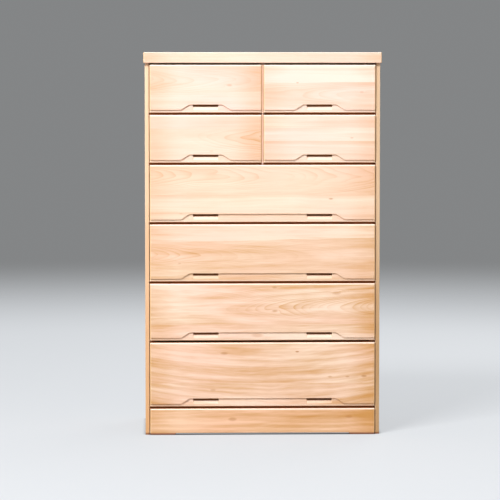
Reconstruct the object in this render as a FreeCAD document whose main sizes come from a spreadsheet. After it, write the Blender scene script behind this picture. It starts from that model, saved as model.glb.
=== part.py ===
# Tansu chest: a pale wood chest of drawers in the Japanese style, in millimetres.
# Eight drawers in six rows slide out on wooden runners. Each front has carved finger slots along its foot.
# The chest stands on z = 0 with its front towards -Y. The origin is under the middle of its outer box.
import FreeCAD, Part

import math
import os

import Sketcher

# Driving dimensions. Each is one cell of the sheet.
SIZES = {
    # Case
    "case_width": 791,
    "case_depth": 432,
    "panel_thickness": 13.5,
    "panel_arris_radius": 1.5,
    "partition_thickness": 18,
    "bottom_panel_thickness": 18,
    # Top board
    "top_thickness": 36,
    "top_side_overhang": 4.5,
    "top_front_overhang": 13,
    "top_corner_radius": 4,
    "top_arris_radius": 2.5,
    # Rows of drawers, from the plinth up
    "plinth_height": 88.5,
    "low_front_height": 217.5,
    "middle_front_height": 193.5,
    "upper_front_height": 161.5,
    "row_gap": 6.5,
    "top_gap": 5.5,
    "side_gap": 2,
    "centre_gap": 6,
    "strip_play": 0.8,
    "strip_inset": 5,
    "strip_arris_radius": 0.8,
    # Drawer fronts
    "front_proud": 8,
    "front_thickness": 24,
    "arris_radius": 5,
    "band_step": 4.5,
    "band_height": 9.5,
    "band_arris_radius": 4,
    "step_arris_radius": 1,
    # Finger pulls
    "pull_rise": 18.5,
    "pull_run": 38,
    "pull_bend_reach": 4.5,
    "pull_flat_width": 101,
    "slot_width": 86,
    "slot_depth": 16,
    "slot_end_radius": 2.5,
    "nose_thickness": 5,
    "ramp_rise": 11,
    "ramp_setback": 4,
    "hook_rise": 9,
    # Drawer boxes
    "box_side_gap": 4,
    "box_rear_gap": 12,
    "box_headroom": 4,
    "runner_clearance": 0.3,
    "stop_clearance": 0.5,
    "side_thickness": 12,
    "back_thickness": 12,
    "rebate_depth": 12,
    "bottom_thickness": 5.5,
    "groove_depth": 5,
    "groove_lift": 6,
    "panel_play": 0.2,
    # Rails and runners
    "rail_height": 18,
    "rail_depth": 40,
    "runner_width": 20,
    # Back panel
    "back_panel_thickness": 5.5,
    "back_rebate_width": 8,
    "back_panel_play": 0.3,
    # Plinth
    "foot_width": 82,
    "cutout_height": 5,
    "cutout_slope": 7,
    "plinth_arris_radius": 5,
    "plinth_foot_radius": 2.5,
    "plinth_back_thickness": 18,
    "block_size": 30,
    "block_height": 60,
    # Screws and dowels
    "screw_length": 30,
    "screw_radius": 2,
    "screw_head_radius": 4,
    "screw_head_height": 2.4,
    "screw_tip_height": 4,
    "screw_recess_reach": 2.2,
    "screw_recess_width": 0.9,
    "screw_recess_depth": 1.4,
    "screw_sink": 0.3,
    "screw_stagger": 26,
    "back_screw_inset": 4,
    "dowel_radius": 4,
    "dowel_length": 40,
    "dowel_in_panel": 10,
    "dowel_chamfer": 1,
    "hole_clearance": 0.15,
    "hole_spare_depth": 1,
    # How far a cut runs past what it cuts
    "overrun": 2,
}

# Rows from the plinth up: name, the size that gives the fronts' height, whether two drawers share the row,
# and whether a front rail closes the gap under the row.
ROWS = (
    ("bottom", "low_front_height", False, False),
    ("fifth", "middle_front_height", False, False),
    ("fourth", "middle_front_height", False, True),
    ("third", "middle_front_height", False, True),
    ("second", "upper_front_height", True, True),
    ("top", "upper_front_height", True, True),
)

FINGERS = 5  # of the comb joint at each rear corner of a drawer
RUNNER_SCREW_SHARES = (0.07, 0.5, 0.93)  # along a runner
RAIL_DOWEL_SHARES = (0.3, 0.7)  # along the depth of a rail
PANEL_DOWEL_SHARES = (0.1, 0.4, 0.7, 0.92)  # along the depth of the case
BACK_SCREW_SHARES = (0.03, 0.18, 0.34, 0.5, 0.66, 0.82, 0.97)  # up the back panel
BACK_ROW_SHARES = (0.2, 0.4, 0.6, 0.8)  # across the back panel
TOUCH = 1e-4  # how close an edge lies to the plane that it is looked for in

doc = FreeCAD.newDocument("TansuChest")
sheet = doc.addObject("Spreadsheet::Sheet", "Sizes")
for row, (alias, number) in enumerate(SIZES.items(), 1):
    sheet.set(f"A{row}", alias)
    sheet.set(f"B{row}", str(number))
    sheet.setAlias(f"B{row}", alias)
doc.recompute()


class Size:
    """A size or place, kept both as a formula on the sheet and as its number."""

    def __init__(self, formula, number):
        self.formula = formula
        self.number = number

    def __add__(self, other):
        return Size(f"({self.formula} + {other.formula})", self.number + other.number)

    def __sub__(self, other):
        return Size(f"({self.formula} - {other.formula})", self.number - other.number)

    def __mul__(self, other):
        if isinstance(other, Size):
            return Size(f"({self.formula} * {other.formula})", self.number * other.number)
        return Size(f"({self.formula} * ({other}))", self.number * other)

    def __truediv__(self, other):
        if isinstance(other, Size):
            return Size(f"({self.formula} / {other.formula})", self.number / other.number)
        return Size(f"({self.formula} / {other})", self.number / other)

    def __neg__(self):
        return Size(f"(-{self.formula})", -self.number)

    def root(self):
        return Size(f"sqrt({self.formula})", math.sqrt(self.number))


class Sheet:
    """Gives each cell of the sheet as a Size."""

    def __getattr__(self, alias):
        return Size(f"Sizes.{alias}", float(sheet.get(alias)))


size = Sheet()
ZERO = Size("0", 0.0)

# Places across the chest
CASE_SIDE = size.case_width / 2
INNER_SIDE = CASE_SIDE - size.panel_thickness
FRONT_SIDE = INNER_SIDE - size.side_gap
PARTITION_SIDE = size.partition_thickness / 2
HALF_FRONT_END = size.centre_gap / 2
SLOT_CENTRE = (FRONT_SIDE + HALF_FRONT_END) / 2

# Places from front to back
BACK = (size.case_depth + size.top_front_overhang) / 2
PANEL_EDGE = BACK - size.case_depth
TOP_FRONT = PANEL_EDGE - size.top_front_overhang
FACE = PANEL_EDGE - size.front_proud
FRONT_REAR = FACE + size.front_thickness
STRIP_FRONT = FACE + size.strip_inset
RAIL_FRONT = FRONT_REAR + size.stop_clearance
RAIL_REAR = RAIL_FRONT + size.rail_depth
BACK_PANEL_FRONT = BACK - size.back_panel_thickness
BOX_REAR = BACK_PANEL_FRONT - size.box_rear_gap
BOX_BACK_FRONT = BOX_REAR - size.back_thickness

# Heights in the face of a front, above its lower edge
STEP_TOP = size.band_height + size.pull_rise
HOOK_TOP = STEP_TOP + size.hook_rise

# Heights of the middle of each gap under a row, and of the top board's underside
gap_heights = [size.plinth_height + size.row_gap / 2]
for _, height_name, _, _ in ROWS:
    gap_heights.append(gap_heights[-1] + size.row_gap + getattr(size, height_name))
TOP_UNDERSIDE = gap_heights[-1] - size.row_gap / 2 + size.top_gap
BOTTOM_PANEL_LOW = gap_heights[0] + size.rail_height / 2 - size.bottom_panel_thickness
SPLIT_LEVEL = gap_heights[4]  # the split rows stand on the rail at this height
UPPER_LEVEL = gap_heights[5]  # and this rail lies between them

nodes = []


def node(shape_object):
    """Marks an object of the document as one sub-part of the chest."""
    nodes.append(shape_object)
    return shape_object


def mirrored(low, high, side):
    """The span from low to high on the right of the middle (side +1) or on the left of it (side -1)."""
    return (low, high) if side > 0 else (-high, -low)


def board(label, x, y, z):
    """A plain board that fills a span on each axis."""
    box = doc.addObject("Part::Box", label)
    for (low, high), length, axis in ((x, "Length", "x"), (y, "Width", "y"), (z, "Height", "z")):
        box.setExpression(length, (high - low).formula)
        box.setExpression(f"Placement.Base.{axis}", low.formula)
    return box


def together(label, members):
    """Separate solids in one object."""
    compound = doc.addObject("Part::Compound", label)
    compound.Links = members
    return compound


def cut(label, base, tools):
    """The base with every tool taken out of it."""
    result = doc.addObject("Part::Cut", label)
    result.Base = base
    result.Tool = tools[0] if len(tools) == 1 else together(f"{label}_tools", tools)
    return result


# Bodies and sketches


def new_body(label, x=ZERO, y=ZERO, z=ZERO):
    """An empty body whose own origin stands at a place in the chest."""
    body = doc.addObject("PartDesign::Body", label)
    for axis, place in (("x", x), ("y", y), ("z", z)):
        body.setExpression(f"Placement.Base.{axis}", place.formula)
    return body


def new_sketch(body, name, role, offset=ZERO):
    """A sketch on one of the body's origin planes, or off it by the offset."""
    sketch = body.newObject("Sketcher::SketchObject", name)
    support = next(plane for plane in body.Origin.OriginFeatures if plane.Role == role)
    sketch.AttachmentSupport = (support, [""])
    sketch.MapMode = "FlatFace"
    sketch.setExpression("AttachmentOffset.Base.z", offset.formula)
    return sketch


def pin(sketch, edge, end, x=None, y=None):
    """Ties a point of an edge (1 its start, 2 its end, 3 its centre) to a place."""
    for kind, place, axis in (("DistanceX", x, -2), ("DistanceY", y, -1)):
        if place is ZERO:
            sketch.addConstraint(Sketcher.Constraint("PointOnObject", edge, end, axis))
        elif place is not None:
            constraint = sketch.addConstraint(Sketcher.Constraint(kind, edge, end, place.number))
            sketch.setExpression(f"Constraints[{constraint}]", place.formula)


def flat_vector(x, y):
    return FreeCAD.Vector(x.number, y.number, 0)


def bend_edge(start, end, centre, turn):
    """An arc between two points, drawn the way a sketch keeps it, which is anticlockwise."""
    first, last = (start, end) if turn > 0 else (end, start)
    angles = [math.atan2((point - centre).y, (point - centre).x) for point in (first, last)]
    circle = Part.Circle(centre, FreeCAD.Vector(0, 0, 1), (start - centre).Length)
    return Part.ArcOfCircle(circle, angles[0], angles[1] + 2 * math.pi * (angles[1] < angles[0]))


def outline(sketch, corners, bends=None):
    """A closed outline through the corners.

    bends gives, for an edge that is an arc, its centre, the way it turns (+1 anticlockwise) and the axis
    along which the centre is pinned.
    """
    bends = bends or {}
    ends = []
    for edge, start in enumerate(corners):
        end = corners[(edge + 1) % len(corners)]
        if edge in bends:
            centre, turn, _ = bends[edge]
            curve = bend_edge(flat_vector(*start), flat_vector(*end), flat_vector(*centre), turn)
            ends.append((1, 2) if turn > 0 else (2, 1))
        else:
            curve = Part.LineSegment(flat_vector(*start), flat_vector(*end))
            ends.append((1, 2))
        sketch.addGeometry(curve, False)
    for edge, start in enumerate(corners):
        after = (edge + 1) % len(corners)
        sketch.addConstraint(Sketcher.Constraint("Coincident", edge, ends[edge][1], after, ends[after][0]))
        pin(sketch, edge, ends[edge][0], *start)
    for edge, (centre, _, axis) in bends.items():
        pin(sketch, edge, 3, **{axis: centre["xy".index(axis)]})
    return sketch


def rectangle(sketch, x, y):
    """A closed rectangle over two spans."""
    return outline(sketch, [(x[0], y[0]), (x[1], y[0]), (x[1], y[1]), (x[0], y[1])])


def pad(body, sketch, length, side="One side", backwards=False):
    """Thickens a sketch into a board."""
    feature = body.newObject("PartDesign::Pad", f"{sketch.Name}_pad")
    feature.Profile = sketch
    feature.SideType = side
    feature.Reversed = backwards
    feature.setExpression("Length", length.formula)
    doc.recompute()
    return feature


def round_edges(body, radius, chosen):
    """Rounds the edges of the body so far whose boxes the test chooses."""
    base = body.Tip
    names = [f"Edge{number}" for number, edge in enumerate(base.Shape.Edges, 1) if chosen(edge.BoundBox)]
    fillet = body.newObject("PartDesign::Fillet", f"{base.Name}_round")
    fillet.Base = (base, names)
    fillet.setExpression("Radius", radius.formula)
    doc.recompute()
    return fillet


def lies_at(low, high, place):
    """Whether a span of a box is flat at a place."""
    return abs(low - place.number) < TOUCH and abs(high - place.number) < TOUCH


def turned(label, profile):
    """A body turned about its Z axis from a profile of (radius, height) corners."""
    body = new_body(label)
    sketch = outline(new_sketch(body, f"{label}_profile", "XZ_Plane"), profile)
    turn = body.newObject("PartDesign::Revolution", f"{label}_turn")
    turn.Profile = sketch
    turn.ReferenceAxis = (sketch, ["V_Axis"])
    turn.Angle = 360
    doc.recompute()
    return body


# Screws and dowels, each with the hole that takes it. They point down from z = 0 in their own frames.


def screw_body():
    """A countersunk wood screw with a cross recess."""
    body = turned(
        "screw_master",
        [
            (ZERO, ZERO),
            (size.screw_head_radius, ZERO),
            (size.screw_radius, -size.screw_head_height),
            (size.screw_radius, size.screw_tip_height - size.screw_length),
            (ZERO, -size.screw_length),
        ],
    )
    reach, half = size.screw_recess_reach, size.screw_recess_width / 2
    cross = new_sketch(body, "screw_recess", "XY_Plane")
    outline(
        cross,
        [
            (reach, -half), (reach, half), (half, half), (half, reach), (-half, reach), (-half, half),
            (-reach, half), (-reach, -half), (-half, -half), (-half, -reach), (half, -reach), (half, -half),
        ],
    )
    pocket = body.newObject("PartDesign::Pocket", "screw_recess_pocket")
    pocket.Profile = cross
    pocket.setExpression("Length", size.screw_recess_depth.formula)
    doc.recompute()
    return body


def screw_hole_body():
    """The hole of a screw: its countersink and shank, with clearance all round."""
    slack = size.hole_clearance
    return turned(
        "screw_hole_master",
        [
            (ZERO, size.overrun),
            (size.screw_head_radius + slack, size.overrun),
            (size.screw_head_radius + slack, ZERO),
            (size.screw_radius + slack, -size.screw_head_height),
            (size.screw_radius + slack, -size.screw_length - slack),
            (ZERO, -size.screw_length - slack),
        ],
    )


def dowel_body():
    """A round wooden dowel with chamfered ends."""
    radius, chamfer, length = size.dowel_radius, size.dowel_chamfer, size.dowel_length
    return turned(
        "dowel_master",
        [
            (ZERO, ZERO),
            (radius - chamfer, ZERO),
            (radius, -chamfer),
            (radius, chamfer - length),
            (radius - chamfer, -length),
            (ZERO, -length),
        ],
    )


def dowel_hole_body():
    """The two facing holes of a dowel, a little deeper than it needs."""
    radius = size.dowel_radius + size.hole_clearance
    spare = size.hole_spare_depth
    length = size.dowel_length + spare
    return turned(
        "dowel_hole_master", [(ZERO, spare), (radius, spare), (radius, -length), (ZERO, -length)]
    )


def driven(x, y, z, direction):
    """The placement of a fastener that starts at a place and points along the direction."""
    point = FreeCAD.Vector(x.number, y.number, z.number)
    return FreeCAD.Placement(point, FreeCAD.Rotation(FreeCAD.Vector(0, 0, -1), FreeCAD.Vector(*direction)))


def copies(label, master, placements):
    """One solid of the master at each placement, all in one object."""
    solids = []
    for placement in placements:
        solid = master.Shape.copy()
        solid.Placement = placement
        solids.append(solid)
    feature = doc.addObject("Part::Feature", label)
    feature.Shape = Part.makeCompound(solids)
    return feature


def between(low, high, share):
    return low + (high - low) * share


def runner_levels():
    """For each gap with side runners: its middle, and where its runners begin behind the fronts."""
    for level, (_, _, _, railed) in zip(gap_heights[1:-1], ROWS[1:]):
        yield level, RAIL_REAR if railed else RAIL_FRONT


def runner_screw_places():
    """Screws through the runners, into the side panels and into the partition."""
    head = size.runner_width - size.screw_sink
    for side in (-1, 1):
        for level, start in runner_levels():
            for share in RUNNER_SCREW_SHARES:
                along = between(start, BACK_PANEL_FRONT, share)
                yield driven((INNER_SIDE - head) * side, along, level, (side, 0, 0))
        for share in RUNNER_SCREW_SHARES:
            along = between(RAIL_REAR, BACK_PANEL_FRONT, share) + size.screw_stagger * (side / 2)
            yield driven((PARTITION_SIDE + head) * side, along, UPPER_LEVEL, (-side, 0, 0))


def back_screw_places():
    """Screws through the back panel, into the side panels, the bottom panel and the partition."""
    head = BACK - size.screw_sink
    for share in BACK_SCREW_SHARES:
        for side in (-1, 1):
            height = between(size.cutout_height, TOP_UNDERSIDE, share)
            yield driven((INNER_SIDE + size.back_screw_inset) * side, head, height, (0, -1, 0))
    for share in BACK_ROW_SHARES:
        middle = BOTTOM_PANEL_LOW + size.bottom_panel_thickness / 2
        yield driven(between(-INNER_SIDE, INNER_SIDE, share), head, middle, (0, -1, 0))
        yield driven(ZERO, head, between(SPLIT_LEVEL, TOP_UNDERSIDE, share), (0, -1, 0))


def dowel_places():
    """Dowels of the rails, of the bottom panel and of the top board."""
    in_panel = INNER_SIDE + size.dowel_in_panel
    for side in (-1, 1):
        inward = (-side, 0, 0)
        for level, (_, _, _, railed) in zip(gap_heights[1:-1], ROWS[1:]):
            for share in RAIL_DOWEL_SHARES:
                if railed:
                    yield driven(in_panel * side, between(RAIL_FRONT, RAIL_REAR, share), level, inward)
        for share in PANEL_DOWEL_SHARES:
            along = between(PANEL_EDGE, BACK_PANEL_FRONT, share)
            middle = BOTTOM_PANEL_LOW + size.bottom_panel_thickness / 2
            yield driven(in_panel * side, along, middle, inward)
            under_top = TOP_UNDERSIDE + size.dowel_length / 2
            yield driven((INNER_SIDE + CASE_SIDE) * (side / 2), along, under_top, (0, 0, -1))
    for share in RAIL_DOWEL_SHARES:
        along = between(RAIL_FRONT, RAIL_REAR, share)
        yield driven(size.dowel_length / 2, along, UPPER_LEVEL, (-1, 0, 0))
    for share in PANEL_DOWEL_SHARES[1:]:
        along = between(PANEL_EDGE, BACK_PANEL_FRONT, share)
        yield driven(ZERO, along, TOP_UNDERSIDE + size.dowel_length / 2, (0, 0, -1))


def fasteners():
    """The three groups of fasteners. Gives the object that holds all their holes."""
    screw, screw_hole = screw_body(), screw_hole_body()
    dowel, dowel_hole = dowel_body(), dowel_hole_body()
    node(copies("runner_screws", screw, runner_screw_places()))
    node(copies("back_panel_screws", screw, back_screw_places()))
    node(copies("dowels", dowel, dowel_places()))
    return together(
        "holes",
        [
            copies("runner_screw_holes", screw_hole, runner_screw_places()),
            copies("back_screw_holes", screw_hole, back_screw_places()),
            copies("dowel_holes", dowel_hole, dowel_places()),
        ],
    )


# Case


def side_panel(label, side, holes):
    """A side panel, with a rebate for the back panel along its inner rear edge."""
    outer, inner = CASE_SIDE * side, INNER_SIDE * side
    ledge = (INNER_SIDE + size.back_rebate_width) * side
    body = new_body(f"{label}_board")
    plan = new_sketch(body, f"{label}_plan", "XY_Plane")
    outline(
        plan,
        [
            (outer, PANEL_EDGE),
            (inner, PANEL_EDGE),
            (inner, BACK_PANEL_FRONT),
            (ledge, BACK_PANEL_FRONT),
            (ledge, BACK),
            (outer, BACK),
        ],
    )
    pad(body, plan, TOP_UNDERSIDE)
    round_edges(
        body,
        size.panel_arris_radius,
        lambda box: lies_at(box.YMin, box.YMax, PANEL_EDGE) and box.ZLength > box.XLength,
    )
    node(cut(label, body, [holes]))


def top_board(holes):
    """The thick top board, with rounded corners and arrises."""
    end = CASE_SIDE + size.top_side_overhang
    body = new_body("top_board_blank", z=TOP_UNDERSIDE)
    plan = rectangle(new_sketch(body, "top_board_plan", "XY_Plane"), (-end, end), (TOP_FRONT, BACK))
    pad(body, plan, size.top_thickness)
    round_edges(body, size.top_corner_radius, lambda box: box.ZLength > TOUCH)
    round_edges(body, size.top_arris_radius, lambda box: box.ZLength < TOUCH)
    node(cut("top_board", body, [holes]))


def front_rails(holes):
    """The rails behind the gaps, in two lengths where the partition divides the row."""
    depth = (RAIL_FRONT, RAIL_REAR)
    for level, (name, _, _, railed) in zip(gap_heights[1:-1], ROWS[1:]):
        height = (level - size.rail_height / 2, level + size.rail_height / 2)
        if level is UPPER_LEVEL:
            for hand, side in (("left", -1), ("right", 1)):
                label = f"{hand}_rail_under_{name}_row"
                span = mirrored(PARTITION_SIDE, INNER_SIDE, side)
                node(cut(label, board(f"{label}_blank", span, depth, height), [holes]))
        elif railed:
            label = f"rail_under_{name}_row"
            span = (-INNER_SIDE, INNER_SIDE)
            node(cut(label, board(f"{label}_blank", span, depth, height), [holes]))


def partition_strip():
    """The strip on the front edge of the partition, which shows in the gap between the half-width fronts."""
    half = HALF_FRONT_END - size.strip_play
    low = SPLIT_LEVEL - size.row_gap / 2 + size.strip_play
    body = new_body("partition_strip_board", z=low)
    plan = new_sketch(body, "partition_strip_plan", "XY_Plane")
    rectangle(plan, (-half, half), (STRIP_FRONT, RAIL_FRONT))
    pad(body, plan, TOP_UNDERSIDE - low)
    round_edges(
        body,
        size.strip_arris_radius,
        lambda box: lies_at(box.YMin, box.YMax, STRIP_FRONT) and box.ZLength > box.XLength,
    )
    body.Label = "partition_strip"
    node(body)


def side_runners(holes):
    """The runners that the drawers slide on, along both side panels."""
    runners = []
    for hand, side in (("left", -1), ("right", 1)):
        span = mirrored(INNER_SIDE - size.runner_width, INNER_SIDE, side)
        for number, (level, start) in enumerate(runner_levels(), 1):
            height = (level - size.rail_height / 2, level + size.rail_height / 2)
            blank = board(f"{hand}_runner_blank_{number}", span, (start, BACK_PANEL_FRONT), height)
            runners.append(cut(f"{hand}_runner_{number}", blank, [holes]))
    node(together("side_runners", runners))


def centre_runners(holes):
    """Runners on both faces of the partition, and the bearer under it that carries the row below the rail."""
    depth = (RAIL_REAR, BACK_PANEL_FRONT)
    runners = []
    for hand, side in (("left", -1), ("right", 1)):
        span = mirrored(PARTITION_SIDE, PARTITION_SIDE + size.runner_width, side)
        height = (UPPER_LEVEL - size.rail_height / 2, UPPER_LEVEL + size.rail_height / 2)
        blank = board(f"centre_{hand}_runner_blank", span, depth, height)
        runners.append(cut(f"centre_{hand}_runner", blank, [holes]))
    reach = PARTITION_SIDE + size.runner_width
    height = (SPLIT_LEVEL - size.rail_height / 2, SPLIT_LEVEL + size.rail_height / 2)
    runners.append(board("centre_bearer", (-reach, reach), depth, height))
    node(together("centre_runners", runners))


def plinth_board(label, half_width, depth, height, rounded):
    """A plinth board on two wide feet, with a shallow cut-out between them."""
    body = new_body(f"{label}_board", y=depth[0])
    foot_end = half_width - size.foot_width
    slope_end = foot_end - size.cutout_slope
    rise = size.cutout_height
    elevation = new_sketch(body, f"{label}_elevation", "XZ_Plane")
    outline(
        elevation,
        [
            (-half_width, ZERO),
            (-foot_end, ZERO),
            (-slope_end, rise),
            (slope_end, rise),
            (foot_end, ZERO),
            (half_width, ZERO),
            (half_width, height),
            (-half_width, height),
        ],
    )
    pad(body, elevation, depth[1] - depth[0], backwards=True)
    if rounded:
        round_edges(
            body,
            size.plinth_arris_radius,
            lambda box: lies_at(box.YMin, box.YMax, ZERO) and box.ZMax > height.number - TOUCH,
        )
        round_edges(
            body,
            size.plinth_foot_radius,
            lambda box: lies_at(box.YMin, box.YMax, ZERO) and box.ZMax < rise.number + TOUCH,
        )
    body.Label = label
    node(body)


def corner_blocks():
    """Glued blocks that hold both plinth boards to the side panels and to the bottom panel."""
    rear_board_front = BACK_PANEL_FRONT - size.plinth_back_thickness
    height = (BOTTOM_PANEL_LOW - size.block_height, BOTTOM_PANEL_LOW)
    blocks = []
    for hand, side in (("left", -1), ("right", 1)):
        span = mirrored(INNER_SIDE - size.block_size, INNER_SIDE, side)
        for end, depth in (
            ("front", (RAIL_FRONT, RAIL_FRONT + size.block_size)),
            ("rear", (rear_board_front - size.block_size, rear_board_front)),
        ):
            blocks.append(board(f"{end}_{hand}_block", span, depth, height))
    node(together("corner_blocks", blocks))


def case(holes):
    """Everything that stays still when the drawers slide."""
    side_panel("left_side_panel", -1, holes)
    side_panel("right_side_panel", 1, holes)
    top_board(holes)
    inside = (-INNER_SIDE, INNER_SIDE)
    depth = (RAIL_FRONT, BACK_PANEL_FRONT)
    low = (BOTTOM_PANEL_LOW, BOTTOM_PANEL_LOW + size.bottom_panel_thickness)
    node(cut("bottom_panel", board("bottom_panel_blank", inside, depth, low), [holes]))
    upright = (SPLIT_LEVEL + size.rail_height / 2, TOP_UNDERSIDE)
    middle = (-PARTITION_SIDE, PARTITION_SIDE)
    node(cut("centre_partition", board("partition_blank", middle, depth, upright), [holes]))
    partition_strip()
    back_end = INNER_SIDE + size.back_rebate_width - size.back_panel_play
    thickness = (BACK_PANEL_FRONT, BACK)
    height = (size.cutout_height, TOP_UNDERSIDE)
    node(cut("back_panel", board("back_panel_blank", (-back_end, back_end), thickness, height), [holes]))
    front_rails(holes)
    side_runners(holes)
    centre_runners(holes)
    plinth_board("plinth_front_board", FRONT_SIDE, (FACE, RAIL_FRONT), size.plinth_height, True)
    rear_depth = (BACK_PANEL_FRONT - size.plinth_back_thickness, BACK_PANEL_FRONT)
    plinth_board("plinth_back_board", INNER_SIDE, rear_depth, BOTTOM_PANEL_LOW, False)
    corner_blocks()


# Drawers


def front_board(label, x, z, slots):
    """The shape of a front before its slots and joints are cut.

    A band along its foot is stepped back from the face. The step runs low at both ends and rises over the
    finger slots in a straight slope that bends at both of its ends.
    """
    half = (x[1] - x[0]) / 2
    height = z[1] - z[0]
    flat = (slots[-1] - slots[0] + size.pull_flat_width) / 2
    low_end = flat + size.pull_run
    low, high = size.band_height, STEP_TOP
    rise, run = size.pull_rise, size.pull_run - size.pull_bend_reach * 2
    slope = (run * run + rise * rise).root()
    bend_x = size.pull_bend_reach * (slope + run) / slope
    bend_z = size.pull_bend_reach * rise / slope
    radius = bend_x * slope / rise
    body = new_body(f"{label}_board", (x[0] + x[1]) / 2, FACE, z[0])

    slab = new_sketch(body, f"{label}_slab", "XZ_Plane", -size.band_step)
    rectangle(slab, (-half, half), (ZERO, height))
    pad(body, slab, size.front_thickness - size.band_step, backwards=True)
    round_edges(body, size.band_arris_radius, lambda box: lies_at(box.YMin, box.YMax, size.band_step))

    face = new_sketch(body, f"{label}_face", "XZ_Plane")
    outline(
        face,
        [
            (-half, low),
            (-low_end, low),
            (bend_x - low_end, low + bend_z),
            (-flat - bend_x, high - bend_z),
            (-flat, high),
            (flat, high),
            (flat + bend_x, high - bend_z),
            (low_end - bend_x, low + bend_z),
            (low_end, low),
            (half, low),
            (half, height),
            (-half, height),
        ],
        {
            1: ((-low_end, low + radius), 1, "x"),
            3: ((-flat, high - radius), -1, "x"),
            5: ((flat, high - radius), -1, "x"),
            7: ((low_end, low + radius), 1, "x"),
        },
    )
    pad(body, face, size.front_thickness, backwards=True)

    def on_face(box):
        return lies_at(box.YMin, box.YMax, ZERO)

    step_top = high.number + TOUCH
    round_edges(body, size.step_arris_radius, lambda box: on_face(box) and box.ZMax < step_top)
    round_edges(body, size.arris_radius, lambda box: on_face(box) and box.ZMax > step_top)
    return body


def finger_slot(label, x, z):
    """The hollow of a finger slot: a ramp that leans back, and a pocket that hooks up behind the face."""
    body = new_body(label, x, FACE, z)
    nose, depth = size.nose_thickness, size.slot_depth
    ramp_top = size.band_height + size.ramp_rise
    hook_radius = (depth - nose) / 2
    hook_spring = HOOK_TOP - hook_radius
    profile = new_sketch(body, f"{label}_profile", "YZ_Plane")
    outline(
        profile,
        [
            (ZERO, size.band_height),
            (size.band_step, size.band_height),
            (size.band_step + size.ramp_setback, ramp_top),
            (depth, ramp_top),
            (depth, hook_spring),
            (nose, hook_spring),
            (nose, STEP_TOP),
            (ZERO, STEP_TOP),
        ],
        {4: (((depth + nose) / 2, hook_spring), 1, "y")},
    )
    pad(body, profile, size.slot_width, side="Symmetric")
    round_edges(body, size.slot_end_radius, lambda box: box.XLength < TOUCH and box.YMax > TOUCH)
    return body


def drawer(name, front_x, front_z, opening, level, upper_level, slots):
    """One drawer: a front, two sides, a back joined to them by comb joints, and a bottom panel in grooves."""
    left, right = opening[0] + size.box_side_gap, opening[1] - size.box_side_gap
    left_inner, right_inner = left + size.side_thickness, right - size.side_thickness
    low = level + size.rail_height / 2 + size.runner_clearance
    high = upper_level - size.rail_height / 2 - size.box_headroom
    groove = (low + size.groove_lift, low + size.groove_lift + size.bottom_thickness + size.panel_play)
    rebate_start = FRONT_REAR - size.rebate_depth
    past = size.overrun
    front, finger = f"{name}_drawer_front", (high - low) / FINGERS

    behind = (rebate_start, FRONT_REAR + past)
    full = (front_z[0] - past, front_z[1] + past)
    cuts = [finger_slot(f"{name}_slot_{number}", x, front_z[0]) for number, x in enumerate(slots, 1)]
    cuts.append(board(f"{front}_left_rebate", (front_x[0] - past, left_inner), behind, full))
    cuts.append(board(f"{front}_right_rebate", (right_inner, front_x[1] + past), behind, full))
    across = (left_inner, right_inner)
    cuts.append(board(f"{front}_groove", across, (FRONT_REAR - size.groove_depth, FRONT_REAR + past), groove))
    node(cut(front, front_board(front, front_x, front_z, slots), cuts))

    def finger_span(number):
        return (
            low + finger * number - past * (number == 0),
            low + finger * (number + 1) + past * (number == FINGERS - 1),
        )

    for hand, span, groove_span in (
        ("left", (left, left_inner), (left_inner - size.groove_depth, left_inner + past)),
        ("right", (right_inner, right), (right_inner - past, right_inner + size.groove_depth)),
    ):
        label = f"{name}_drawer_{hand}_side"
        blank = board(f"{label}_blank", span, (rebate_start, BOX_REAR), (low, high))
        through = (span[0] - past, span[1] + past)
        cuts = [board(f"{label}_groove", groove_span, (rebate_start - past, BOX_REAR + past), groove)]
        for number in range(1, FINGERS, 2):
            notch_depth = (BOX_BACK_FRONT, BOX_REAR + past)
            cuts.append(board(f"{label}_notch_{number}", through, notch_depth, finger_span(number)))
        node(cut(label, blank, cuts))

    label = f"{name}_drawer_back"
    blank = board(f"{label}_blank", (left, right), (BOX_BACK_FRONT, BOX_REAR), (groove[1], high))
    through = (BOX_BACK_FRONT - past, BOX_REAR + past)
    cuts = []
    for number in range(0, FINGERS, 2):
        for hand, span in (("left", (left - past, left_inner)), ("right", (right_inner, right + past))):
            cuts.append(board(f"{label}_{hand}_notch_{number}", span, through, finger_span(number)))
    node(cut(label, blank, cuts))

    inset = size.groove_depth - size.panel_play
    panel_x = (left_inner - inset, right_inner + inset)
    panel_z = (groove[0], groove[0] + size.bottom_thickness)
    node(board(f"{name}_drawer_bottom", panel_x, (FRONT_REAR - inset, BOX_REAR), panel_z))


def drawers():
    """The eight drawers, row by row from the plinth up."""
    for (name, height_name, split, _), level, upper_level in zip(ROWS, gap_heights, gap_heights[1:]):
        bottom_edge = level + size.row_gap / 2
        height = (bottom_edge, bottom_edge + getattr(size, height_name))
        if split:
            for hand, side in (("left", -1), ("right", 1)):
                drawer(
                    f"{name}_{hand}",
                    mirrored(HALF_FRONT_END, FRONT_SIDE, side),
                    height,
                    mirrored(PARTITION_SIDE, INNER_SIDE, side),
                    level,
                    upper_level,
                    [SLOT_CENTRE * side],
                )
        else:
            drawer(
                name,
                (-FRONT_SIDE, FRONT_SIDE),
                height,
                (-INNER_SIDE, INNER_SIDE),
                level,
                upper_level,
                [-SLOT_CENTRE, SLOT_CENTRE],
            )


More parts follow.
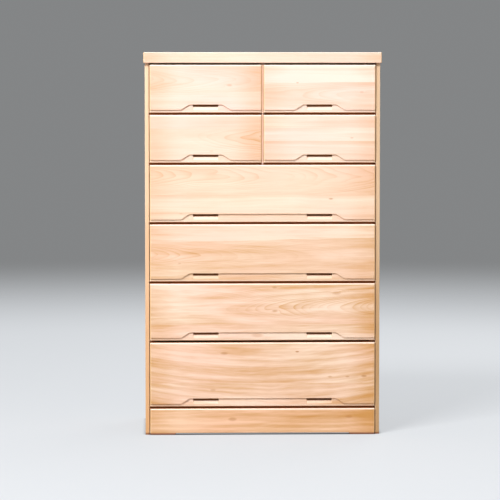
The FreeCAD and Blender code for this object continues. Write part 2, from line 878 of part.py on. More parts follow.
def save():
    """Checks every object of the document and writes each sub-part to its own file."""
    doc.recompute()
    for item in doc.Objects:
        if {"Invalid", "Error"} & set(item.State):
            raise RuntimeError(f"{item.Label} failed: {item.State}")
    for part in nodes:
        if part.Shape.isNull() or not part.Shape.isValid():
            raise RuntimeError(f"{part.Label} has no valid shape")
    os.makedirs("parts", exist_ok=True)
    for part in nodes:
        part.Shape.exportStep(f"parts/{part.Label}.step")
        print(f"{part.Label}: {len(part.Shape.Solids)} solids, {part.Shape.Volume / 1000:.1f} cm3")
    print(f"{len(nodes)} nodes")


case(fasteners())
drawers()
save()
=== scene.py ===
import math
from collections import namedtuple

import bpy
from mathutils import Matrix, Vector


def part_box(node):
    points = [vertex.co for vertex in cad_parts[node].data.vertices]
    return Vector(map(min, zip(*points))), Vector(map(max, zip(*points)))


# Camera: farther away than the photograph's, whose lens seems to have been shifted. This one is turned and
# tilted a little instead, so that the chest has the same outline. Lens and sensor are in millimetres.
CAMERA_PLACE = (-0.3161, -9.2175, 1.25)
CAMERA_PITCH = math.radians(3.9656)
CAMERA_YAW = math.radians(-1.7407)
CAMERA_LENS = 192.95
SENSOR_WIDTH = 36.0

# Floor, which lies a little below z = 0 and fades out between two distances from its middle
FLOOR_RADIUS = 14.0
FLOOR_DROP = 0.0003
FLOOR_SIDES = 128
FLOOR_FADE = (3.2, 8.1)
FLOOR_COLOUR = (0.215, 0.223, 0.232, 1.0)
FLOOR_DARKER = 0.97
FLOOR_MOTTLE = 0.3
FLOOR_MOTTLE_RATE = 2.0
FLOOR_MOTTLE_NOISE = (3.0, 0.5)
FLOOR_ROUGHNESS = 0.85
FLOOR_SPECULAR = 0.1

# Glow that the camera sees on the floor, which dims within a short reach of the chest as a painted contact
# shadow
FLOOR_GLOW = 0.52
FLOOR_GLOW_COLOUR = (0.92, 0.985, 1.05, 1.0)
CONTACT_REACH = 0.025
CONTACT_SHADE = (0.20, 0.85)

# Matt grey that the floor is for all other rays
FLOOR_BOUNCE_COLOUR = (0.45, 0.45, 0.45, 1.0)

# Backdrop that the camera sees, and the light of the room, from the horizon to straight above
BACKDROP_COLOUR = (0.230, 0.236, 0.240, 1.0)
ROOM_LIGHT_COLOUR = (1.0, 0.86, 0.76, 1.0)
ROOM_LIGHT_LOW = 0.10
ROOM_LIGHT_HIGH = 0.66

# Lamps: name, place, what it aims at, width, height, power in watts, colour
LAMPS = (
    ("key_lamp", (-1.95, -3.55, 4.40), (0.05, 0.0, 0.75), 1.9, 1.4, 356.0, (1.0, 0.985, 0.975)),
    ("right_lamp", (2.6, -2.8, 1.7), (0.0, 0.0, 0.6), 1.2, 1.6, 16.0, (1.0, 0.97, 0.94)),
    ("rear_lamp", (1.6, 3.0, 2.6), (0.0, 0.0, 0.6), 1.8, 1.6, 40.0, (1.0, 0.98, 0.96)),
)

# How a board lies: the axes that run along its grain, across it and through its thickness
LYING = "xyz"  # boards that lie flat with their length across the chest
FACING = "xzy"  # fronts, other boards that face the front, and dowels
UPRIGHT = "zyx"  # side panels, the partition with its strip, and corner blocks
UPRIGHT_BACK = "zxy"  # the back panel
RUNNING = "yzx"  # boards that run from front to back on edge, and runners

# One plank of a board: where it starts across the board, its tone, how far across the board the pith of
# its log is, how far behind the face, and how fast that depth changes along the board
Plank = namedtuple("Plank", "start tone pith behind lean")

# A knot: its place along and across the board, its radius, and how dark it is
Knot = namedtuple("Knot", "along across radius strength")

# A front: its wood, its planks and knots, and how much its grain is bent
Front = namedtuple("Front", "look planks knots bow")

# A noise in the wood: how often it changes in a metre along the grain and across it, its detail and its
# roughness
Grain = namedtuple("Grain", "along across detail roughness")
PATCH = Grain(3.1, 9.0, 2.0, 0.5)
CLOUD = Grain(1.7, 4.5, 2.0, 0.5)
HUE = Grain(2.3, 6.0, 1.0, 0.5)
FIBRE = Grain(7.0, 420.0, 3.0, 0.6)
PORES = Grain(60.0, 1500.0, 1.0, 0.5)

# Detail and roughness of the noises that move the borders of the planks, bend the rings, and make bands
# and streaks
BORDER_NOISE = (1.0, 0.5)
WARP_NOISE = (2.0, 0.45)
BAND_NOISE = (2.5, 0.55)
STREAK_NOISE = (4.0, 0.72)

# How often borders and streaks change in a metre along the grain, and the step between two planks' seeds
BORDER_RATE = 2.2
STREAK_RATE = 2.2
PLANK_SEED_STEP = 3.7

# Knots, with distances in radii
KNOT_DRAWN_OUT = 0.4  # how much a distance along the grain counts against one across it
KNOT_CLOSING = 0.35  # how soon the rings close round a knot
KNOT_PUSH = 0.8  # how far it pushes them
KNOT_CORE = (1.6, 0.0)  # squared distances between which it darkens

# Rings, pores and hue, with pairs as the start and the end of a change
RING_CROWDING = 1.6  # how much the bands crowd the rings and spread them
LATEWOOD_RISE = 3.0  # how late in a ring its latewood darkens
LATEWOOD_END = (1.0, 0.93)  # shares of a ring between which the latewood ends
LATEWOOD_CLEAR = (-0.16, 0.14)  # values of the patches, from no line to a clear one
FADING_BANDS = 0.6  # share of the bands that fades out with the rings
PORE_SIZE = (0.13, 0.22)
HUE_SPREAD = (-0.2, 0.2)

# Distances over which a tone goes from nothing to full, and how much the noises move them
END_REACH = (0.11, 0.002)
END_SWAY = 0.06
WEAR_REACH = (0.0035, 0.0004)
WEAR_SWAY = 0.004

# Zones of a front, from its outline inwards and from its face to the rear, with painted highlight and
# shade:
# its stepped edge, the faces in the gaps round it, and the finger slots, which end before its rear face.
# The last is the height of the painted contact shade at the foot.
BRINK_REACH = (0.0070, 0.0030)
STEP_DEPTH = (0.0090, 0.0070)
GAP_REACH = (0.0022, 0.0008)
GAP_DEPTH = (0.0016, 0.0040)
SLOT_REACH = (0.006, 0.0075)
SLOT_DEPTH = (0.0072, 0.0095)
SLOT_FLOOR = (0.0210, 0.0185)
FOOT_HEIGHT = (0.0085, 0.0035)

# Directions of a surface over which a tone comes in: three squares of parts of its normal, then two parts
ROUNDED = (0.97, 0.70)
TURNED = (0.02, 0.15)
FACING_EDGE = (0.2, 0.7)
LOOKING_DOWN = (0.2, 0.8)
UNDERSIDE = (0.25, 0.75)

# Gloss and relief of the wood
FIBRE_ROUGHNESS = 0.25
LINE_ROUGHNESS = 0.06
RELIEF_STRENGTH = 0.35
RELIEF_HEIGHT = 0.0002
LINE_RELIEF = 0.5
PORE_RELIEF = 0.6


class Value:
    """A number, vector or colour that a node tree works out. Sums and products of numbers add nodes."""

    def __init__(self, socket):
        self.socket = socket

    def math(self, operation, *others):
        """The value after one operation, with the other terms that it takes."""
        node = self.socket.id_data.nodes.new("ShaderNodeMath")
        node.operation = operation
        for slot, term in zip(node.inputs, (self, *others)):
            feed(slot, term)
        return Value(node.outputs[0])

    def __add__(self, other):
        return self.math("ADD", other)

    def __sub__(self, other):
        return self.math("SUBTRACT", other)

    def __mul__(self, other):
        return self.math("MULTIPLY", other)

    def __truediv__(self, other):
        return self.math("DIVIDE", other)

    def eased(self, start, end):
        """0 at the start, 1 at the end, and smooth between them. The end may be the lower of the two."""
        node = self.socket.id_data.nodes.new("ShaderNodeMapRange")
        node.interpolation_type = "SMOOTHSTEP"
        feed(node.inputs["Value"], self)
        node.inputs["From Min"].default_value = start
        node.inputs["From Max"].default_value = end
        return Value(node.outputs["Result"])


def feed(slot, term):
    """Links a Value to a node's input, or sets the input to a plain number or colour."""
    if isinstance(term, Value):
        slot.id_data.links.new(term.socket, slot)
    else:
        slot.default_value = term


def joined(tree, x, y, z):
    """Three values as one vector."""
    node = tree.nodes.new("ShaderNodeCombineXYZ")
    for slot, term in zip(node.inputs, (x, y, z)):
        feed(slot, term)
    return Value(node.outputs[0])


def noise(vector, detail, roughness):
    """Soft noise about zero at a place."""
    node = vector.socket.id_data.nodes.new("ShaderNodeTexNoise")
    feed(node.inputs["Vector"], vector)
    node.inputs["Scale"].default_value = 1.0
    node.inputs["Detail"].default_value = detail
    node.inputs["Roughness"].default_value = roughness
    return Value(node.outputs["Fac"]) - 0.5


def mixed(factor, first, second):
    """A colour between two others."""
    node = factor.socket.id_data.nodes.new("ShaderNodeMix")
    node.data_type = "RGBA"
    feed(node.inputs["Factor"], factor)
    for name, colour in (("A", first), ("B", second)):
        slot = next(s for s in node.inputs if s.name == name and s.type == "RGBA")
        feed(slot, colour)
    return Value(next(s for s in node.outputs if s.type == "RGBA"))


def blend(tree, factor, first, second):
    """The output of a shader between two others."""
    node = tree.nodes.new("ShaderNodeMixShader")
    feed(node.inputs[0], factor)
    tree.links.new(first, node.inputs[1])
    tree.links.new(second, node.inputs[2])
    return node.outputs[0]


def new_material(name):
    """An empty material, its tree and its shader."""
    material = bpy.data.materials.new(name)
    material.use_nodes = True
    tree = material.node_tree
    return material, tree, tree.nodes["Principled BSDF"]


def place_and_normal(tree):
    """Where a point of a piece is and which way its surface faces, each as a value for each axis."""
    source = tree.nodes.new("ShaderNodeTexCoord")
    parts = []
    for output in ("Object", "Normal"):
        split = tree.nodes.new("ShaderNodeSeparateXYZ")
        tree.links.new(source.outputs[output], split.inputs[0])
        parts.append(dict(zip("xyz", map(Value, split.outputs))))
    return parts


def pick(across, edges, values):
    """The value of the plank that a place across the board is on."""
    result = values[0]
    for edge, before, after in zip(edges, values, values[1:]):
        if after != before:
            result = (across.math("GREATER_THAN", edge) * (after - before)) + result
    return result


class Board:
    """Where a point of a board is in the board's own directions, and how its surface faces there."""

    def __init__(self, tree, low, high, axes):
        self.tree = tree
        self.place, self.normal = place_and_normal(tree)
        self.along, self.across, self.depth = (self.place[axis] - low[axis] for axis in axes)
        along, across, _ = axes
        self.length = high[along] - low[along]
        self.gaps = {}
        for axis in "xyz":
            to_high = (self.place[axis] * -1.0) + high[axis]
            self.gaps[axis] = (self.place[axis] - low[axis]).math("MINIMUM", to_high)
        self.end_gap = self.gaps[along]
        self.side_gap = self.gaps[across]
        self.facing_end = self.normal[along] * self.normal[along]
        self.facing_edge = self.normal[across] * self.normal[across]

    def grain(self, kind, seed, moved):
        """A noise drawn out along the grain. The seed moves the board through it in one direction."""
        steps = {
            "along": self.along * kind.along,
            "across": self.across * kind.across,
            "depth": self.depth * kind.across,
        }
        steps[moved] = steps[moved] + seed
        return noise(joined(self.tree, *steps.values()), kind.detail, kind.roughness)

    def edge_gap(self):
        """How far a point of a face is from the nearest edge: the middle one of its three gaps."""
        x, y, z = self.gaps.values()
        return x.math("MINIMUM", y).math("MAXIMUM", x.math("MAXIMUM", y).math("MINIMUM", z))


def cut_from_logs(board, planks, look, bow):
    """The tone and the seed of the plank that a point is on, its bent place across the board, how much the
    grain is warped there, and how far it is from the pith."""
    edges = [plank.start for plank in planks[1:]]
    wander = noise(joined(board.tree, board.along * BORDER_RATE + look["seed"], 0.0, 0.0), *BORDER_NOISE)
    border = board.across - board.along * look["tilt"] + wander * look["wander"]
    tone, pith, behind, lean = (
        pick(border, edges, [getattr(plank, item) for plank in planks])
        for item in ("tone", "pith", "behind", "lean")
    )
    seeds = [look["seed"] + PLANK_SEED_STEP * number for number in range(len(planks))]
    seed = pick(border, edges, seeds)
    middle = board.along - board.length / 2
    bent = board.across - middle * middle * bow if bow else board.across
    rate_along, rate_across = look["swirl"]
    swirl = board.along * rate_along + seed
    warp = noise(joined(board.tree, swirl, bent * rate_across, board.depth * rate_across), *WARP_NOISE)
    radial = bent - pith
    away = board.along * lean + board.depth + behind
    radius = (radial * radial + away * away).math("SQRT") + warp * look["warp"]
    return tone, seed, bent, warp, radius


def grown_round(knots, board, radius):
    """The distance from the pith with the rings pushed out by the knots, and how dark the knots are."""
    shade = None
    for knot in knots:
        step_along = (board.along - knot.along) * (KNOT_DRAWN_OUT / knot.radius)
        step_across = (board.across - knot.across) * (1.0 / knot.radius)
        squared = step_along * step_along + step_across * step_across
        near = (squared * -KNOT_CLOSING).math("EXPONENT")
        radius = radius + near * (knot.radius * KNOT_PUSH)
        core = squared.eased(*KNOT_CORE) * knot.strength
        shade = core if shade is None else shade.math("MAXIMUM", core)
    return radius, shade


def worked(board, look, colour):
    """The colour with wear and painted highlight on a board's edges, and painted bounce and shade in its
    gaps, slots, underside and foot.
    """
    # Rounded edges: paler as wear and as painted highlight, and on the rounded ends painted warm bounce
    if look["arris"]:
        squares = {axis: board.normal[axis] * board.normal[axis] for axis in "xyz"}
        flattest = squares["x"].math("MAXIMUM", squares["y"]).math("MAXIMUM", squares["z"])
        rounding = flattest.eased(*ROUNDED) * look["arris"]
        colour = mixed(rounding * board.facing_edge.eased(*TURNED), colour, look["wear_and_painted_highlight"])
        colour = mixed(rounding * board.facing_end.eased(*TURNED), colour, look["painted_warm_bounce"])
    downward = board.normal["z"] * -1.0
    inset = board.end_gap.math("MINIMUM", board.side_gap)
    if look["brink"]:
        # Painted highlight near the top and bottom edges
        brink = board.side_gap.eased(*BRINK_REACH) * board.depth.eased(*STEP_DEPTH)
        colour = mixed(brink * look["brink"], colour, look["wear_and_painted_highlight"])
        # Painted warm bounce on the faces that look down
        painted_warm_bounce = downward.eased(*LOOKING_DOWN) * board.depth.eased(*STEP_DEPTH)
        colour = mixed(painted_warm_bounce, colour, look["painted_warm_bounce"])
        # Painted shade on the faces in the gaps
        in_gap = inset.eased(*GAP_REACH) * board.depth.eased(*GAP_DEPTH)
        colour = mixed(in_gap * board.facing_edge.eased(*FACING_EDGE), colour, look["painted_shade"])
    if look["carved"]:
        # Painted shade deep in the finger slots
        carved = inset.eased(*SLOT_REACH) * board.depth.eased(*SLOT_DEPTH) * board.depth.eased(*SLOT_FLOOR)
        colour = mixed(carved * look["carved"], colour, look["painted_slot_shade"])
    if look["under"]:
        # Painted shade on the underside
        colour = mixed(downward.eased(*UNDERSIDE) * look["under"], colour, look["painted_shade"])
    if look["footing"]:
        # Painted contact shade at the foot
        footing = board.place["z"].eased(*FOOT_HEIGHT)
        colour = mixed(footing * look["footing"], colour, look["painted_foot_shade"])
    return colour


def wood(name, low, high, axes, planks, look, knots=(), bow=0.0):
    """A board glued from planks, as a solid pattern of growth rings cut from one log for each plank.

    low and high are the board's corners, axes says how it lies, and bow bends its grain.
    """
    material, tree, shader = new_material(name)
    board = Board(tree, low, high, axes)
    tone, seed, bent, warp, radius = cut_from_logs(board, planks, look, bow)
    radius, knot_shade = grown_round(knots, board, radius)

    bands = noise(joined(tree, radius * look["band_rate"], seed, 0.0), *BAND_NOISE)
    ring = (radius * (1.0 / look["ring"]) + bands * RING_CROWDING).math("FRACT")
    line = ring.math("POWER", LATEWOOD_RISE) * ring.eased(*LATEWOOD_END)
    patch = board.grain(PATCH, seed, "along")
    fibre = board.grain(FIBRE, seed, "along")
    pore = board.grain(PORES, seed, "across").eased(*PORE_SIZE)
    cloud = board.grain(CLOUD, seed, "across")
    sway = bent * look["streak_rate"] + warp * look["streak_sway"]
    drawn_out = joined(tree, board.along * STREAK_RATE + seed, sway, board.depth * look["streak_rate"])
    streak = noise(drawn_out, *STREAK_NOISE)

    figure = (board.along / board.length).eased(*look["figure"])
    # Darker towards the ends: painted shade
    near_end = (board.end_gap + cloud * END_SWAY).eased(*END_REACH)
    worn = (board.edge_gap() + patch * WEAR_SWAY).eased(*WEAR_REACH)
    shade = line * patch.eased(*LATEWOOD_CLEAR) * figure * look["line"]
    shade = shade + bands * (figure * FADING_BANDS + (1.0 - FADING_BANDS)) * look["bands"]
    shade = shade + fibre * look["fibre"] + cloud * look["cloud"]
    shade = shade + streak * look["streak"] + pore * look["pore"]
    shade = shade + board.facing_end * look["end_grain"] + board.facing_edge * look["edge_grain"]
    shade = shade + near_end * look["ends"] + board.along * (look["drift"] / board.length)
    shade = shade + look["base"] + tone - worn * look["wear"]
    shade = shade.math("MAXIMUM", 0.0).math("MINIMUM", 1.0)

    hue = board.grain(HUE, seed, "depth").eased(*HUE_SPREAD)
    colour = mixed(shade, mixed(hue, look["pale"], look["blush"]), look["deep"])
    if knot_shade is not None:
        colour = mixed(knot_shade, colour, look["knot"])
    feed(shader.inputs["Base Color"], worked(board, look, colour))
    gloss = fibre * FIBRE_ROUGHNESS + line * LINE_ROUGHNESS
    feed(shader.inputs["Roughness"], gloss + look["roughness"])
    shader.inputs["Specular IOR Level"].default_value = look["specular"]

    relief = tree.nodes.new("ShaderNodeBump")
    relief.inputs["Strength"].default_value = RELIEF_STRENGTH
    relief.inputs["Distance"].default_value = RELIEF_HEIGHT
    feed(relief.inputs["Height"], fibre - line * LINE_RELIEF - pore * PORE_RELIEF)
    tree.links.new(relief.outputs[0], shader.inputs["Normal"])
    return material


def wood_look(seed, pale, blush, deep, **changes):
    """The colours of a kind of wood, and how strong and how fine its patterns are."""
    look = {
        "seed": seed,  # where in the noises the board is cut
        "pale": pale,  # the paler parts
        "blush": blush,  # the redder parts
        "deep": deep,  # latewood and dark bands
        "knot": (0.46, 0.19, 0.04, 1.0),
        "wear_and_painted_highlight": (0.96, 0.88, 0.79, 1.0),  # wear and painted highlight on edges
        "painted_slot_shade": (0.42, 0.17, 0.06, 1.0),  # painted shade deep in the finger slots
        "painted_warm_bounce": (0.90, 0.62, 0.32, 1.0),  # painted warm bounce: rounded ends, downward faces
        "painted_shade": (0.52, 0.20, 0.065, 1.0),  # painted shade in the gaps and on the underside
        "painted_foot_shade": (0.28, 0.11, 0.05, 1.0),  # painted contact shade at the foot
        "base": 0.16,  # share of the deep colour all over
        "drift": 0.0,  # how much more of it the far end of the board has
        "tilt": 0.0,  # slope of the borders between the planks
        "wander": 0.0,  # how far the borders wander
        "swirl": (3.0, 11.0),  # how often the rings bend in a metre, along and across the grain
        "warp": 0.020,  # how far they bend
        "figure": (-1.0, -0.5),  # where the rings fade in, in shares of the length
        "ring": 0.0028,  # distance between two rings
        "line": 0.30,  # latewood lines
        "band_rate": 75.0,  # how often the tone of the rings changes in a metre
        "bands": 0.40,
        "streak_rate": 32.0,  # how often the streaks change in a metre
        "streak_sway": 1.2,  # how much they follow the bends of the rings
        "streak": 0.62,
        "fibre": 0.20,
        "cloud": 0.45,
        "pore": 0.10,
        "end_grain": 0.22,  # how much darker faces across the grain are
        "edge_grain": 0.0,  # the same of edges along the grain; painted shadow on the right panel
        "ends": 0.0,  # painted shade, darker towards the ends of the board
        "wear": 0.10,  # how much paler its worn edges are
        "arris": 0.0,  # strength of the wear and painted highlight on rounded edges
        "brink": 0.0,  # painted highlight on the stepped edge; also turns on the painted gap shade and bounce
        "carved": 0.0,  # strength of the painted shade in the finger slots
        "footing": 0.0,  # strength of the painted contact shade at the foot
        "under": 0.0,  # strength of the painted shade on the underside
        "roughness": 0.42,
        "specular": 0.45,
    }
    look.update(changes)
    return look


# Wood of the partition: its paler and redder parts, and its latewood, which the lower fronts and the strip
# share
PALE = (0.88, 0.64, 0.45, 1.0)
BLUSH = (0.88, 0.60, 0.42, 1.0)
DEEP = (0.60, 0.30, 0.085, 1.0)

# Redder latewood of the upper fronts and the top board
ROSY = (0.64, 0.32, 0.12, 1.0)

# Side panels: their paler and redder parts, and the latewood of the left one and of the right one,
# which is darker as painted shadow cast by the fronts
PANEL_PALE = (0.89, 0.69, 0.50, 1.0)
PANEL_BLUSH = (0.89, 0.65, 0.46, 1.0)
LEFT_DEEP = (0.64, 0.31, 0.09, 1.0)
RIGHT_DEEP_AND_SHADOW = (0.47, 0.29, 0.135, 1.0)

# Rosier, darker strip on the partition, as painted shade and reflected light of the gap it stands in
STRIP_PALE = (0.78, 0.52, 0.43, 1.0)
STRIP_BLUSH = (0.76, 0.48, 0.39, 1.0)

# Redder wood of the rails, the bottom panel and the plinth's back board
RAIL_PALE = (0.74, 0.29, 0.09, 1.0)
RAIL_BLUSH = (0.70, 0.25, 0.07, 1.0)
RAIL_DEEP = (0.36, 0.13, 0.05, 1.0)

# Pale wood of the drawer boxes
BOX_PALE = (0.80, 0.66, 0.47, 1.0)
BOX_BLUSH = (0.78, 0.62, 0.44, 1.0)
BOX_DEEP = (0.55, 0.38, 0.21, 1.0)

# Wood of the runners, blocks and dowels
SMALL_PALE = (0.74, 0.50, 0.30, 1.0)
SMALL_BLUSH = (0.72, 0.46, 0.28, 1.0)
SMALL_DEEP = (0.46, 0.25, 0.11, 1.0)

# Plywood: its veneer, its light and dark plies, how sharp the lines between them are, and where it is edge
VENEER_PALE = (0.70, 0.52, 0.33, 1.0)
VENEER_BLUSH = (0.67, 0.47, 0.30, 1.0)
VENEER_DEEP = (0.42, 0.24, 0.11, 1.0)
PLY_LIGHT = (0.62, 0.46, 0.29, 1.0)
PLY_DARK = (0.36, 0.22, 0.12, 1.0)
PLIES = 3
PLY_LINE = (0.45, 0.55)
PLY_FACE = (0.3, 0.6)

# Zinc: bright with dull patches, and with scratches that run along y
ZINC_BRIGHT = (0.66, 0.64, 0.60, 1.0)
ZINC_DULL = (0.52, 0.47, 0.36, 1.0)
ZINC_PATCH_RATE = 260.0
ZINC_PATCH_NOISE = (3.0, 0.6)
ZINC_PATCH_SPREAD = (-0.2, 0.2)
SCRATCH_RATE = 2400.0
SCRATCH_RATE_ALONG = 300.0
SCRATCH_NOISE = (2.0, 0.5)
ZINC_ROUGHNESS = 0.30
DULL_ROUGHNESS = 0.14
SCRATCH_ROUGHNESS = 0.20

# Seeds: a start for each kind of board, and the step from one place in the list of names to the next
RAIL_SEED, RAIL_SEED_STEP = 21.0, 1.7
BOX_SEED, BOX_SEED_STEP = 41.0, 1.3
PLYWOOD_SEED = 61.0
SMALL_SEED, SMALL_SEED_STEP = 71.0, 2.1

# Planks of the boards other than the fronts
TOP_PLANKS = (
    Plank(0.0, 0.0, -0.05, 0.07, 0.03),
    Plank(0.12, 0.05, 0.20, 0.08, -0.05),
    Plank(0.26, -0.02, 0.42, 0.05, 0.02),
    Plank(0.37, 0.03, 0.40, 0.09, 0.04),
)
SIDE_PLANKS = (
    Plank(0.0, 0.0, 0.05, 0.07, 0.03),
    Plank(0.105, 0.04, 0.30, 0.06, -0.03),
    Plank(0.22, -0.02, 0.27, 0.09, 0.04),
    Plank(0.33, 0.03, 0.50, 0.05, 0.02),
)
RAIL_PLANK = Plank(0.0, 0.0, 0.02, 0.06, 0.03)
SMALL_PLANK = Plank(0.0, 0.0, 0.3, 0.05, 0.03)
BOX_PLANKS = tuple(Plank(0.0, 0.0, 0.05 + 0.01 * number, 0.05, 0.04) for number in range(7))


# Fronts: the red of their wood, and how much less green and blue the redder parts have
FRONT_RED = 0.90
LESS_GREEN = 0.07
LESS_BLUE = 0.05


def front_look(seed, green, blue, deep=DEEP, **changes):
    """The wood of a front, whose pale parts have this much green and blue."""
    pale = (FRONT_RED, green, blue, 1.0)
    blush = (FRONT_RED, green - LESS_GREEN, blue - LESS_BLUE, 1.0)
    # Fronts get wear and painted highlight on rounded edges, painted highlight on the stepped edge,
    # painted shade in the gaps and slots, and ends darkened as painted shade
    made = {"arris": 0.75, "brink": 0.45, "carved": 1.0, "ends": 0.22, **changes}
    return wood_look(seed, pale, blush, deep, **made)


# Fronts, from the top row down: their own tones, with the upper rows paler as painted light from above and
# the lower ones taking more of the deep colour; their drift darkens their right ends as painted shade of
# the light falling off
FRONTS = {
    "top_left_drawer_front": Front(
        front_look(1.3, 0.725, 0.63, ROSY, line=0.24, bands=0.50, base=0.11, wander=0.02, ends=0.32),
        (Plank(0.0, -0.09, 0.20, 0.03, 0.02), Plank(0.070, 0.04, 0.11, 0.07, 0.05)),
        (Knot(0.268, 0.093, 0.0040, 0.35),),
        0.0,
    ),
    "top_right_drawer_front": Front(
        front_look(2.9, 0.755, 0.66, ROSY, line=0.24, bands=0.70, base=0.10),
        (Plank(0.0, 0.02, 0.06, 0.06, -0.03), Plank(0.103, -0.14, 0.30, 0.04, 0.0)),
        (Knot(0.114, 0.101, 0.0018, 0.55), Knot(0.330, 0.070, 0.0030, 0.30)),
        0.0,
    ),
    "second_left_drawer_front": Front(
        front_look(4.1, 0.735, 0.625, ROSY, line=0.38, bands=0.50, base=0.14, warp=0.030,
                   figure=(0.25, 0.75), ends=0.30, drift=0.03),
        (Plank(0.0, 0.04, 0.079, 0.086, -0.075), Plank(0.115, -0.08, 0.30, 0.05, 0.0)),
        (Knot(0.208, 0.040, 0.0030, 0.15),),
        0.0,
    ),
    "second_right_drawer_front": Front(
        front_look(5.7, 0.765, 0.66, ROSY, line=0.24, bands=0.55, base=0.11),
        (Plank(0.0, 0.06, -0.10, 0.05, 0.02), Plank(0.074, -0.10, 0.28, 0.04, 0.01),
         Plank(0.118, 0.0, 0.28, 0.04, 0.01)),
        (Knot(0.297, 0.084, 0.0024, 0.40),),
        0.0,
    ),
    "third_drawer_front": Front(
        front_look(6.3, 0.745, 0.61, ROSY, line=0.34, bands=0.75, base=0.13, warp=0.026, drift=0.08),
        (Plank(0.0, -0.04, -0.12, 0.05, 0.01), Plank(0.092, 0.04, 0.154, 0.045, 0.045)),
        (Knot(0.610, 0.079, 0.0030, 0.55), Knot(0.105, 0.030, 0.0026, 0.20)),
        0.0,
    ),
    "fourth_drawer_front": Front(
        front_look(7.9, 0.74, 0.60, line=0.40, bands=1.10, streak=1.3, base=0.13, tilt=0.02,
                   figure=(0.98, 0.60), wander=0.006, drift=0.14),
        (Plank(0.0, 0.10, 0.088, 0.040, 0.055), Plank(0.133, -0.12, 0.32, 0.05, 0.0)),
        (Knot(0.100, 0.062, 0.0026, 0.30),),
        0.03,
    ),
    "fifth_drawer_front": Front(
        front_look(8.7, 0.735, 0.595, line=0.60, bands=1.10, streak=2.0, base=0.16,
                   figure=(0.20, 0.55), ends=0.36, drift=0.06),
        (Plank(0.0, 0.00, -0.08, 0.05, 0.02), Plank(0.055, 0.0, 0.110, 0.095, -0.086)),
        (Knot(0.422, 0.101, 0.0040, 0.40), Knot(0.420, 0.180, 0.0034, 0.40),
         Knot(0.630, 0.161, 0.0060, 0.35), Knot(0.362, 0.018, 0.0080, 0.30)),
        0.04,
    ),
    "bottom_drawer_front": Front(
        front_look(9.9, 0.715, 0.57, line=0.38, bands=1.30, base=0.16, warp=0.030, streak=2.0,
                   streak_rate=22.0, ends=0.42, drift=0.17),
        (Plank(0.0, 0.02, -0.10, 0.05, 0.03), Plank(0.080, 0.0, 0.42, 0.05, 0.0)),
        (Knot(0.497, 0.186, 0.0026, 0.85), Knot(0.250, 0.181, 0.0050, 0.45),
         Knot(0.723, 0.103, 0.0040, 0.65), Knot(0.667, 0.101, 0.0028, 0.50),
         Knot(0.608, 0.101, 0.0030, 0.40), Knot(0.212, 0.056, 0.0040, 0.35)),
        0.22,
    ),
    # The plinth's footing is painted contact shade at its foot
    "plinth_front_board": Front(
        front_look(11.3, 0.655, 0.465, line=0.30, bands=1.10, base=0.22, warp=0.034, streak=1.8,
                   streak_rate=24.0, ends=0.36, footing=1.0, drift=0.27),
        (Plank(0.0, 0.0, 0.20, 0.04, 0.02),),
        (Knot(0.278, 0.052, 0.0060, 0.50), Knot(0.672, 0.060, 0.0050, 0.45)),
        0.0,
    ),
}


def box_of(name):
    """The lowest and the highest corner of a node, each as a number for each axis."""
    low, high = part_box(name)
    return dict(zip("xyz", low)), dict(zip("xyz", high))


def give(nodes, name, material):
    """Gives a node one material."""
    slots = nodes[name].data.materials
    slots.clear()
    slots.append(material)


def give_wood(nodes, name, axes, planks, look, knots=(), bow=0.0):
    """Gives a node a wood of its own."""
    low, high = box_of(name)
    give(nodes, name, wood(f"{name}_wood", low, high, axes, planks, look, knots, bow))


def give_plywood(nodes, name, axes):
    """Gives a node a plywood of its own."""
    low, high = box_of(name)
    give(nodes, name, plywood(f"{name}_plywood", low, high, axes))


def finish_fronts(nodes):
    """The drawer fronts and the plinth's front board, each with its own planks and knots."""
    for name, front in FRONTS.items():
        give_wood(nodes, name, FACING, front.planks, front.look, front.knots, front.bow)


def finish_case(nodes):
    """The top board, the side panels, the partition, and the boards behind the gaps."""
    # The top board gets wear and painted highlight on its rounded edges, darker ends as painted shade, and
    # painted shade on its underside
    top_look = front_look(13.1, 0.73, 0.61, ROSY, base=0.13, line=0.26, bands=0.50, brink=0.0, carved=0.0,
                          under=0.85)
    give_wood(nodes, "top_board", LYING, TOP_PLANKS, top_look)
    # The partition and its strip get wear and painted highlight on their rounded edges, the side panels
    # painted contact shade at the foot
    plain = {"line": 0.26, "bands": 0.34, "arris": 0.35}
    panel = {"line": 0.26, "bands": 0.34, "footing": 0.9}
    looks = {
        "left_side_panel": wood_look(15.1, PANEL_PALE, PANEL_BLUSH, LEFT_DEEP, base=0.62, drift=-0.73,
                                     edge_grain=0.14, **panel),
        # The right panel's darker latewood and front edge are painted shadow cast by the fronts
        "right_side_panel": wood_look(17.4, PANEL_PALE, PANEL_BLUSH, RIGHT_DEEP_AND_SHADOW, base=0.40, drift=-0.46,
                                      edge_grain=0.50, **panel),
        "centre_partition": wood_look(19.7, PALE, BLUSH, DEEP, **plain),
        "partition_strip": wood_look(22.0, STRIP_PALE, STRIP_BLUSH, DEEP, **plain),
    }
    for name, look in looks.items():
        give_wood(nodes, name, UPRIGHT, SIDE_PLANKS, look)
    for number, name in enumerate(sorted(nodes)):
        if "rail_under" in name or name in ("bottom_panel", "plinth_back_board"):
            seed = RAIL_SEED + number * RAIL_SEED_STEP
            look = wood_look(seed, RAIL_PALE, RAIL_BLUSH, RAIL_DEEP, base=0.20, line=0.26)
            give_wood(nodes, name, FACING, (RAIL_PLANK,), look)


